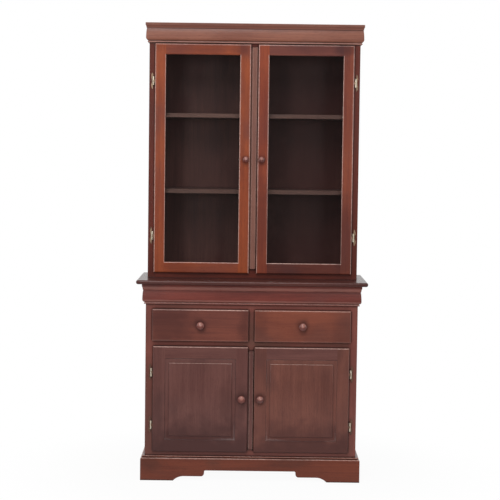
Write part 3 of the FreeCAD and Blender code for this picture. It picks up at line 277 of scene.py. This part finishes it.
def wood(tone, axis, number, node):
    """A board's material: one finish, one grain direction and one stretch of timber."""
    stain_and_painted_light = STAIN_AND_PAINTED_LIGHT.get(node, [])
    step = number % len(SHADES)
    key = (tone, axis, step, node if stain_and_painted_light else None)
    if key in woods:
        return woods[key]
    light, dark, smoky, figure, edge_wear_and_highlight, side_edge_wear_and_highlight, coat, coat_rough = TONES[tone]

    def shaded(color, by=(1.0, 1.0, 1.0)):
        return tuple(channel * SHADES[step] * part for channel, part in zip(color, by)) + (1.0,)

    material, t = new_material("%s_wood_%s%d" % (tone, axis, step))
    here = t.add("TexCoord").outputs["Object"]
    along_log = (0.37 * step + 0.11, 0.53 * step + 0.07, 1.31 * step)
    place = t.add("Mapping", {"Vector": here, "Rotation": GRAIN_TURN[axis], "Location": along_log})
    body = t.add("Group", node_tree=wood_group)
    for name, value in (("Vector", place.outputs["Vector"]), ("Light", shaded(light)), ("Dark", shaded(dark)),
                        ("Smoky", shaded(smoky)), ("Figure", figure), ("Edge Wear and Highlight", edge_wear_and_highlight),
                        ("Side Edge Wear and Highlight", side_edge_wear_and_highlight), ("Recess Glaze and Shade", RECESS_GLAZE_AND_SHADE.get(tone, USUAL_RECESS_GLAZE_AND_SHADE))):
        t.put(body.inputs[name], value)
    color = body.outputs["Color"]
    # Patches of stain, painted shade and painted highlight.
    if stain_and_painted_light:
        at = t.add("SeparateXYZ", {"Vector": here}).outputs
        wander = t.math("MULTIPLY_ADD", t.noise(here, 16.0, 3.0, 0.55), 1.2, -0.6)
        for x, z, half_width, half_height, strength in stain_and_painted_light:
            across = t.math("MULTIPLY_ADD", at["X"], 1 / half_width, -x / half_width)
            up = t.math("MULTIPLY_ADD", at["Z"], 1 / half_height, -z / half_height)
            squares = t.math("ADD", t.math("MULTIPLY", across, across), t.math("MULTIPLY", up, up))
            away = t.math("SQRT", squares)
            share = t.ramp(t.math("ADD", away, wander), 1.25, 0.35, 0.0, abs(strength))
            color = t.mix(share, color, shaded(smoky, DEEPER) if strength > 0 else PAINTED_HIGHLIGHT_TINT)
    if tone == "knob":
        # Painted highlight: the crown is painted paler where it faces front and up.
        facing = t.vector("DOT_PRODUCT", t.add("TexCoord").outputs["Normal"], (0.0, -0.92, 0.39))
        crown_highlight_mottle = t.ramp(t.noise(here, 140.0, 3.0, 0.6), 0.3, 0.7, 0.75, 1.0)
        crown_highlight = t.ramp(facing, 0.78, 0.995, 0.0, 0.62)
        color = t.mix(t.math("MULTIPLY", crown_highlight, crown_highlight_mottle), color, PAINTED_CROWN_HIGHLIGHT)
    surface = t.add("BsdfPrincipled", {
        "Base Color": color, "Roughness": body.outputs["Roughness"],
        "Normal": body.outputs["Normal"], "Coat Normal": body.outputs["Coat Normal"],
        "Coat Weight": coat, "Coat Roughness": coat_rough, "Coat IOR": 1.5, "Specular IOR Level": 0.12})
    t.add("OutputMaterial", {"Surface": surface.outputs[0]})
    woods[key] = material
    return material


SPOTTED_BRASS = rgb(84, 64, 48)
TARNISH = rgb(58, 40, 28)


def make_brass(name, bright, dull, metallic, low, high):
    """Clouded metal, bright to dull, of low to high roughness, with spots, and tarnish in its recesses."""
    material, t = new_material(name)
    place = t.add("TexCoord").outputs["Object"]
    cloud = t.ramp(t.noise(place, 45.0, 4.0, 0.6), 0.35, 0.7)
    fine = t.noise(t.vector("MULTIPLY", place, (1.0, 1.0, 0.2)), 900.0, 3.0, 0.6)
    spots = t.ramp(t.noise(place, 260.0, 3.0, 0.7), 0.58, 0.75)
    color = t.mix(cloud, bright, dull)
    color = t.mix(t.math("MULTIPLY", spots, 0.5), color, SPOTTED_BRASS)
    open_air = t.add("AmbientOcclusion", {"Distance": 0.005}, samples=8).outputs["AO"]
    color = t.mix(t.ramp(open_air, 0.35, 0.80, 0.80, 0.0), color, TARNISH)
    rough = t.math("ADD", t.ramp(fine, 0.3, 0.7, low, high), t.math("MULTIPLY", spots, 0.2))
    bump = t.add("Bump", {"Height": fine, "Strength": 0.2, "Distance": 0.00015})
    surface = t.add("BsdfPrincipled", {"Base Color": color, "Metallic": metallic, "Roughness": rough,
                                       "Normal": bump.outputs["Normal"]})
    t.add("OutputMaterial", {"Surface": surface.outputs[0]})
    return material


def make_steel():
    material, t = new_material("zinc_plated_steel")
    place = t.add("TexCoord").outputs["Object"]
    grain = t.noise(place, 420.0, 3.0, 0.6)
    color = t.mix(t.ramp(grain, 0.3, 0.7), rgb(176, 178, 180), rgb(206, 206, 202))
    surface = t.add("BsdfPrincipled", {"Base Color": color, "Metallic": 1.0,
                                       "Roughness": t.ramp(grain, 0.3, 0.7, 0.24, 0.4)})
    t.add("OutputMaterial", {"Surface": surface.outputs[0]})
    return material


def make_plastic():
    material, t = new_material("catch_plastic")
    place = t.add("TexCoord").outputs["Object"]
    grain = t.noise(place, 700.0, 2.0, 0.6)
    color = t.mix(t.ramp(grain, 0.3, 0.7), rgb(44, 30, 24), rgb(58, 40, 32))
    bump = t.add("Bump", {"Height": grain, "Strength": 0.3, "Distance": 0.0002})
    surface = t.add("BsdfPrincipled", {"Base Color": color, "Roughness": t.ramp(grain, 0.3, 0.7, 0.38, 0.52),
                                       "Normal": bump.outputs["Normal"]})
    t.add("OutputMaterial", {"Surface": surface.outputs[0]})
    return material


def make_glass():
    """Thin window glass: light passes straight through, and both faces mirror a little."""
    index = 1.5
    material, t = new_material("pane_glass")
    place = t.add("TexCoord").outputs["Object"]
    drawn = t.noise(t.vector("MULTIPLY", place, (1.0, 1.0, 0.35)), 7.0, 2.0, 0.5)
    haze = t.ramp(t.noise(place, 24.0, 4.0, 0.6), 0.4, 0.8, 0.015, 0.035)
    bump = t.add("Bump", {"Height": drawn, "Strength": 0.01, "Distance": 0.001})
    clear = t.add("BsdfTransparent", {"Color": (0.90, 0.91, 0.905, 1.0)})
    mirror = t.add("BsdfGlossy", {"Color": (1.0, 1.0, 1.0, 1.0), "Roughness": haze,
                                  "Normal": bump.outputs["Normal"]})
    # The Fresnel node turns the index over on a face seen from inside, where this straight-through glass must
    # not, so it gets the index already turned over there.
    inside = t.add("NewGeometry").outputs["Backfacing"]
    share = t.add("Fresnel", {"IOR": t.math("MULTIPLY_ADD", inside, 1 / index - index, index)}).outputs[0]
    surface = t.add("MixShader", {0: share, 1: clear.outputs[0], 2: mirror.outputs[0]})
    t.add("OutputMaterial", {"Surface": surface.outputs[0]})
    return material


brass = make_brass("polished_brass", rgb(226, 214, 194), rgb(204, 190, 166), 0.75, 0.32, 0.42)
plate = make_brass("tarnished_brass", rgb(150, 122, 98), rgb(112, 88, 70), 0.65, 0.36, 0.48)
bronze = make_brass("lacquered_plate", rgb(112, 80, 62), rgb(88, 60, 48), 0.45, 0.38, 0.50)
steel, plastic, glass = make_steel(), make_plastic(), make_glass()


# The CAD nodes' materials -------------------------------------------------------------------------

def islands(mesh):
    """The separate solids of a node's mesh, as lists of face indices; vertices that share a place are one."""
    spots = {}
    owner = []
    for vertex in mesh.vertices:
        key = tuple(round(value * 1e5) for value in vertex.co)
        owner.append(spots.setdefault(key, len(spots)))
    parent = list(range(len(spots)))

    def find(item):
        while parent[item] != item:
            parent[item] = parent[parent[item]]
            item = parent[item]
        return item

    for face in mesh.polygons:
        first = find(owner[face.vertices[0]])
        for index in face.vertices[1:]:
            parent[find(owner[index])] = first
    found = {}
    for face in mesh.polygons:
        found.setdefault(find(owner[face.vertices[0]]), []).append(face.index)
    return list(found.values())


def extent(mesh, faces):
    points = [mesh.vertices[i].co for f in faces for i in mesh.polygons[f].vertices]
    low = Vector(min(p[axis] for p in points) for axis in range(3))
    high = Vector(max(p[axis] for p in points) for axis in range(3))
    return low, high


def framed(mesh, member):
    """The faces of a frame's left and right stile, which run full height, and its top and bottom rail."""
    margin = 5e-4
    low, high = extent(mesh, range(len(mesh.polygons)))
    inner = (low.x + member + margin, high.x - member - margin)
    boards = [[], [], [], []]
    for face in mesh.polygons:
        if inner[0] < face.center.x < inner[1]:
            boards[2 if face.center.z > (low.z + high.z) / 2 else 3].append(face.index)
        else:
            boards[0 if face.center.x < (low.x + high.x) / 2 else 1].append(face.index)
    return boards


board_numbers = itertools.count()


def timber(node, tones, grain="long", member=None):
    """Give each board of a node its own stretch of wood, with the grain along its longest side unless told.
    A frame, whose members have the given width, can take a tone for each, in framed's order."""
    mesh = nodes[node].data
    mesh.materials.clear()
    slots = {}
    if member:
        boards = framed(mesh, member)
    else:
        boards = sorted(islands(mesh), key=lambda board: tuple(round(v, 3) for v in extent(mesh, board)[0]))
    if isinstance(tones, str):
        tones = [tones] * len(boards)
    for faces, tone in zip(boards, tones):
        low, high = extent(mesh, faces)
        sides = high - low
        axis = "xyz"[max(range(3), key=lambda i: sides[i])] if grain == "long" else grain
        material = wood(tone, axis, next(board_numbers), node)
        if material.name not in slots:
            slots[material.name] = len(mesh.materials)
            mesh.materials.append(material)
        for index in faces:
            mesh.polygons[index].material_index = slots[material.name]


def finish_with(material, node):
    mesh = nodes[node].data
    mesh.materials.clear()
    mesh.materials.append(material)


# The hinge pins' x, either side of the middle, and y; a reach just past the barrels; a height between the
# hutch's hinges and the base's.
HUTCH_PIN, BASE_PIN = (0.4414, -0.0805), (0.4339, -0.1855)
BARREL_REACH = 0.00385
BETWEEN_HINGES = 0.9


def hinged(node):
    """Knuckles, near the pin, are bright; the sheet metal beyond them is duller, and darker on the base."""
    mesh = nodes[node].data
    mesh.materials.clear()
    for material in (brass, plate, bronze):
        mesh.materials.append(material)
    for face in mesh.polygons:
        upper = face.center.z > BETWEEN_HINGES
        x, y = HUTCH_PIN if upper else BASE_PIN
        off = math.hypot(abs(face.center.x) - x, face.center.y - y)
        face.material_index = 0 if off < BARREL_REACH else (1 if upper else 2)


# Widths of frame members.
HUTCH_MEMBER, BASE_MEMBER, BEAD_MEMBER = 0.047, 0.053, 0.008
# Tones of a side's hutch door frame, base door frame, panel and drawer front.
FINISH = {"left": (("copper", "amber", "copper", "amber"), ("mauve",) * 4, "mauve", "dusk"),
          "right": (("russet", "rosewood", "plum", "garnet"), ("chestnut", "chestnut", "mauve", "chestnut"),
                    "chestnut", "sienna")}
for side in ("left", "right"):
    hutch, base, drawer = "hutch_door_%s_" % side, "base_door_%s_" % side, "drawer_%s_" % side
    door_tones, base_tones, panel_tone, drawer_tone = FINISH[side]
    timber(hutch + "frame", door_tones, member=HUTCH_MEMBER)
    timber(hutch + "glazing_beads", "stile", member=BEAD_MEMBER)
    timber(hutch + "knob", "knob", "y")
    timber(base + "frame", base_tones, member=BASE_MEMBER)
    timber(base + "panel", panel_tone, "z")
    timber(base + "knob", "knob", "y")
    timber(drawer + "front", drawer_tone, "x")
    timber(drawer + "box", "raw")
    timber(drawer + "bottom", "raw", "x")
    timber(drawer + "knob", "knob", "y")
    finish_with(glass, hutch + "glass")
    hinged(hutch + "hinge_leaves")
    hinged(base + "hinge_leaves")
for node in ("base_back", "hutch_back"):
    timber(node, "inner", "z")
for node in ("base_bottom", "hutch_bottom", "hutch_top", "drawer_divider"):
    timber(node, "inner")
for node in ("cupboard_shelf", "hutch_shelves"):
    timber(node, "shelf", "x")
for node in ("base_sides", "hutch_sides", "hutch_stiles"):
    timber(node, "stile")
# A lighter copy of the stile's finish: painted light against the shade on this rail.
timber("hutch_foot_rail", "umber")
for node in ("hutch_top_rail", "plinth_blocks"):
    timber(node, "stile")
for node in ("base_stiles", "base_top_rail", "base_mid_rail", "base_foot_rail", "drawer_post"):
    timber(node, "rail")
for node in ("plinth_front", "plinth_returns"):
    timber(node, "plinth")
for node in ("cornice_front", "cornice_returns"):
    timber(node, "cornice")
for node in ("frieze_front", "frieze_returns"):
    timber(node, "frieze")
timber("base_top", "top", "x")
timber("drawer_runners", "raw", "y")
timber("hutch_door_left_closing_strip", "strip", "z")
timber("base_door_left_closing_strip", "astragal", "z")
hinged("hinge_wings")
finish_with(brass, "hinge_pins")
finish_with(steel, "shelf_pegs")
finish_with(plastic, "door_catches")


# Raised panels of the base doors ------------------------------------------------------------------

# A panel's section, in metres: insets from the node's box, and y in the shared frame.
TONGUE_THICKNESS, TONGUE_REACH = 0.0050, 0.0093
SLOPE_START, SLOPE_WIDTH, SLOPE_Y, SLOPE_SINK = 0.0103, 0.0145, -0.1948, 0.0030
FIELD_START, FIELD_ROUND, FIELD_Y, FIELD_RISE = 0.0252, 0.0032, -0.1922, 0.0028
# The field starts this much lower under the top rail.
TOP_DROP = 0.0030


def raised_panel(side):
    """A solid panel: a thin tongue in the frame's grooves, a shallow slope that sinks from the frame's face,
    and a field that steps up again.  Rings run from the back to the field; each is an inset and a y."""
    slope_steps, round_steps = 8, 6
    node = "base_door_%s_panel" % side
    low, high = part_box(node)
    tongue_y = high[1] - TONGUE_THICKNESS
    rings = [(0.0, high[1]), (0.0, tongue_y), (TONGUE_REACH, tongue_y)]
    # The rim comes forward from the tongue, with a broken corner, to where the slope starts.
    rings += [(TONGUE_REACH, -0.1938), (0.0096, -0.1945), (SLOPE_START, SLOPE_Y)]
    for k in range(1, slope_steps + 1):
        part = k / slope_steps
        rings.append((SLOPE_START + SLOPE_WIDTH * part, SLOPE_Y + SLOPE_SINK * math.sin(part * math.pi / 2)))
    for k in range(1, round_steps + 1):
        angle = k / round_steps * math.pi / 2
        inset = FIELD_START + FIELD_ROUND * (1 - math.cos(angle))
        rings.append((inset, FIELD_Y - FIELD_RISE * math.sin(angle)))
    made = bmesh.new()
    loops = []
    for inset, y in rings:
        drop = TOP_DROP * max(0.0, min(1.0, (inset - SLOPE_START) / SLOPE_WIDTH))
        x0, x1, z0, z1 = low[0] + inset, high[0] - inset, low[2] + inset, high[2] - inset - drop
        loops.append([made.verts.new((x, y, z)) for x, z in ((x0, z0), (x1, z0), (x1, z1), (x0, z1))])
    made.faces.new(loops[0][::-1])
    made.faces.new(loops[-1])
    for first, second in zip(loops, loops[1:]):
        for k in range(4):
            made.faces.new((first[k], first[(k + 1) % 4], second[(k + 1) % 4], second[k]))
    bmesh.ops.recalc_face_normals(made, faces=made.faces[:])
    mesh = bpy.data.meshes.new("raised_panel_" + side)
    made.to_mesh(mesh)
    made.free()
    for face in mesh.polygons:
        face.use_smooth = True
    mesh.set_sharp_from_angle(angle=math.radians(35))
    for material in nodes[node].data.materials:
        mesh.materials.append(material)
    panel = bpy.data.objects.new("raised_panel_" + side, mesh)
    scene.collection.objects.link(panel)
    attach(panel, "base_door_" + side)
    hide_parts(node)


for side in ("left", "right"):
    raised_panel(side)


def closing_strip(name, node, body, edge, by):
    """The strip behind a left door, with its free edge, all that lies right of x = edge, moved nearer to the
    right door."""
    mesh = nodes[node].data.copy()
    for vertex in mesh.vertices:
        if vertex.co.x > edge:
            vertex.co.x += by
    strip = bpy.data.objects.new(name, mesh)
    scene.collection.objects.link(strip)
    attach(strip, body)
    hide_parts(node)


closing_strip("hutch_closing_strip", "hutch_door_left_closing_strip", "hutch_door_left", 0.004, 0.0015)
closing_strip("base_closing_strip", "base_door_left_closing_strip", "base_door_left", 0.002, 0.0025)


# Camera -------------------------------------------------------------------------------------------

CAMERA_PLACE = (-0.011, -6.916, 1.446)
# How far it looks down, in degrees, and how far it is turned about its own line of sight, in radians.
CAMERA_TILT, CAMERA_ROLL = 3.69, 0.0127

camera = bpy.data.objects.new("camera", bpy.data.cameras.new("camera"))
scene.collection.objects.link(camera)
camera.data.sensor_width = 36.0
camera.data.lens = 112.2
look = Euler((math.radians(90 - CAMERA_TILT), 0.0, 0.0)).to_matrix()
turn = look @ Matrix.Rotation(CAMERA_ROLL, 3, "Z")
camera.matrix_world = Matrix.Translation(CAMERA_PLACE) @ turn.to_4x4()
scene.camera = camera


# Stage --------------------------------------------------------------------------------------------

def make_floor():
    """A round sheet of white paper that fades to the backdrop's white at its edge.  The object's shadow shows
    on it, faintly."""
    radius, steps = 2.4, 96
    mesh = bpy.data.meshes.new("floor")
    mesh.from_pydata([(radius * math.cos(math.tau * k / steps), radius * math.sin(math.tau * k / steps), 0.0)
                      for k in range(steps)], [], [tuple(range(steps))])
    floor = bpy.data.objects.new("floor", mesh)
    scene.collection.objects.link(floor)
    material, t = new_material("studio_floor")
    mesh.materials.append(material)
    away = t.vector("LENGTH", t.add("TexCoord").outputs["Object"])
    path = t.add("LightPath").outputs
    seen = t.math("MAXIMUM", path["Is Camera Ray"], path["Is Transmission Ray"])
    share = t.math("MAXIMUM", t.math("MULTIPLY", seen, t.ramp(away, 0.5, 1.3, 0.95, 1.0)),
                   t.math("MULTIPLY", path["Is Glossy Ray"], t.ramp(away, 0.4, 1.2, 0.70, 0.0)))
    lit = t.add("BsdfDiffuse", {"Color": (0.82, 0.82, 0.82, 1.0)})
    glow = t.add("Emission", {"Color": (1.0, 1.0, 1.0, 1.0), "Strength": 1.0})
    surface = t.add("MixShader", {0: share, 1: lit.outputs[0], 2: glow.outputs[0]})
    t.add("OutputMaterial", {"Surface": surface.outputs[0]})


def make_world():
    world = bpy.data.worlds.new("studio")
    scene.world = world
    world.use_nodes = True
    world.node_tree.nodes.clear()
    t = Tree(world.node_tree)
    path = t.add("LightPath").outputs
    # The white backdrop is behind the object; the room on the camera's side is dim.
    dim_room, fill_light = 0.058, 0.34
    way = t.add("SeparateXYZ", {"Vector": t.add("TexCoord").outputs["Generated"]}).outputs["Y"]
    mirrored = t.ramp(way, -0.9, 0.0, dim_room, 1.0)
    seen = t.math("MAXIMUM", path["Is Camera Ray"], path["Is Transmission Ray"])
    strength = t.math("ADD", t.math("MULTIPLY", path["Is Glossy Ray"], mirrored),
                      t.math("MULTIPLY", t.math("SUBTRACT", 1.0, path["Is Glossy Ray"]), fill_light))
    strength = t.math("MAXIMUM", strength, seen)
    back = t.add("Background", {"Color": (1.0, 1.0, 1.0, 1.0), "Strength": strength})
    t.add("OutputWorld", {"Surface": back.outputs[0]})


def softbox(name, place, target, width, height, power):
    """A lamp that faces a target; sizes in metres, power in watts."""
    lamp = bpy.data.lights.new(name, "AREA")
    lamp.shape = "RECTANGLE"
    lamp.size, lamp.size_y, lamp.energy = width, height, power
    box = bpy.data.objects.new(name, lamp)
    scene.collection.objects.link(box)
    box.location = place
    box.rotation_euler = (Vector(target) - Vector(place)).to_track_quat("-Z", "Y").to_euler()


make_floor()
make_world()
softbox("front_softbox", (-1.0, -6.4, 4.7), (0, 0, 1.0), 3.0, 1.6, 105)
softbox("front_left_softbox", (-2.1, -6.6, 1.8), (0, 0, 1.1), 1.1, 1.8, 60)
softbox("front_right_softbox", (2.1, -6.6, 1.8), (0, 0, 1.1), 1.1, 1.8, 52)
softbox("top_softbox", (-0.4, -3.0, 4.3), (0, 0, 1.2), 2.6, 1.4, 58)
softbox("left_softbox", (-3.2, -1.2, 1.8), (0, 0, 1.2), 0.7, 2.4, 14)
softbox("right_softbox", (3.2, -1.2, 1.8), (0, 0, 1.2), 0.7, 2.4, 14)

scene.view_settings.view_transform = "Standard"
